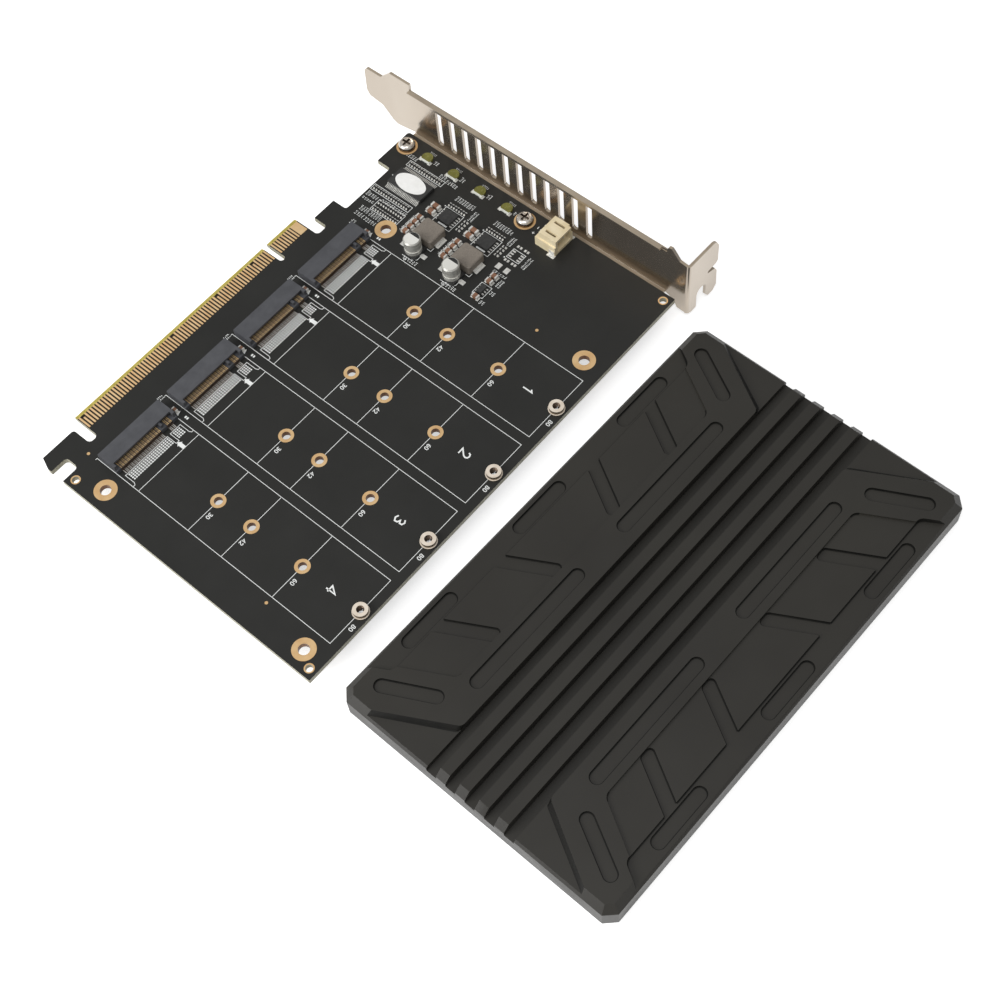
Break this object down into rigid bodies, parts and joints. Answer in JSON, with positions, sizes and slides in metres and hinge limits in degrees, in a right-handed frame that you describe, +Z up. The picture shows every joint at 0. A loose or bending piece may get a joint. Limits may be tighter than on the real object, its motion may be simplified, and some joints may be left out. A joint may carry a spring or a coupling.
{
  "type": "drive adapter card",
  "caption": "Expansion card that carries solid-state modules in a row, with vented bracket and edge connector; its finned metal cover lies beside it.",
  "frame": {"origin": "middle of the box round card and cover together, at the level of the surface they lie on", "axes": "+X along the card's edge toward the bracket, +Y from the cover across the card to its edge connector, +Z up from the surface"},
  "size_m": [0.1582, 0.2086, 0.0261],
  "materials": {
    "board_mask": "black solder mask over glass-epoxy laminate",
    "gold": "flash gold plating",
    "gold_brass": "turned brass, gold plated",
    "bracket_nickel": "nickel-plated sheet steel",
    "screw_steel": "nickel-plated steel screw",
    "socket_resin": "black moulded resin",
    "contact_alloy": "gold-flashed spring contacts with tinned tails",
    "header_resin": "cream moulded resin",
    "tin": "bright tin plating",
    "chip_resin": "black epoxy moulding",
    "label_paper": "white blank label",
    "inductor_core": "pressed metal-powder core, grey-brown",
    "can_aluminium": "drawn aluminium can",
    "base_resin": "black moulded base",
    "lamp_base": "white laminate strip",
    "lamp_lens": "olive-yellow clear resin",
    "capacitor_ceramic": "brown ceramic",
    "resistor_ceramic": "black glazed ceramic",
    "cover_anodised": "bead-blasted and anodised dark grey"
  },
  "bodies": {
    "root": {"blank_label": "label_paper", "bracket": "bracket_nickel", "bracket_screws": "screw_steel", "capacitor_base_1": "base_resin", "capacitor_base_2": "base_resin", "capacitor_can_1": "can_aluminium", "capacitor_can_2": "can_aluminium", "capacitor_feet": "tin", "ceramic_capacitor_bodies": "capacitor_ceramic", "ceramic_capacitor_ends": "tin", "chip_resistor_bodies": "resistor_ceramic", "chip_resistor_ends": "tin", "controller_chip": "chip_resin", "controller_leads": "tin", "edge_fingers": "gold", "fan_header_anchors": "tin", "fan_header_housing": "header_resin", "fan_header_pins": "tin", "heatsink_cover": "cover_anodised", "hole_rings": "gold", "inductor_1": "inductor_core", "inductor_2": "inductor_core", "inductor_feet": "tin", "lamp_bases": "lamp_base", "lamp_lens_1": "lamp_lens", "lamp_lens_2": "lamp_lens", "lamp_lens_3": "lamp_lens", "lamp_lens_4": "lamp_lens", "linear_regulator": "chip_resin", "linear_regulator_leads": "tin", "module_contacts_1": "contact_alloy", "module_contacts_2": "contact_alloy", "module_contacts_3": "contact_alloy", "module_contacts_4": "contact_alloy", "module_socket_1": "socket_resin", "module_socket_2": "socket_resin", "module_socket_3": "socket_resin", "module_socket_4": "socket_resin", "module_standoffs": "gold_brass", "pcb": "board_mask", "regulator_chip_1": "chip_resin", "regulator_chip_2": "chip_resin"}
  },
  "joints": []
}
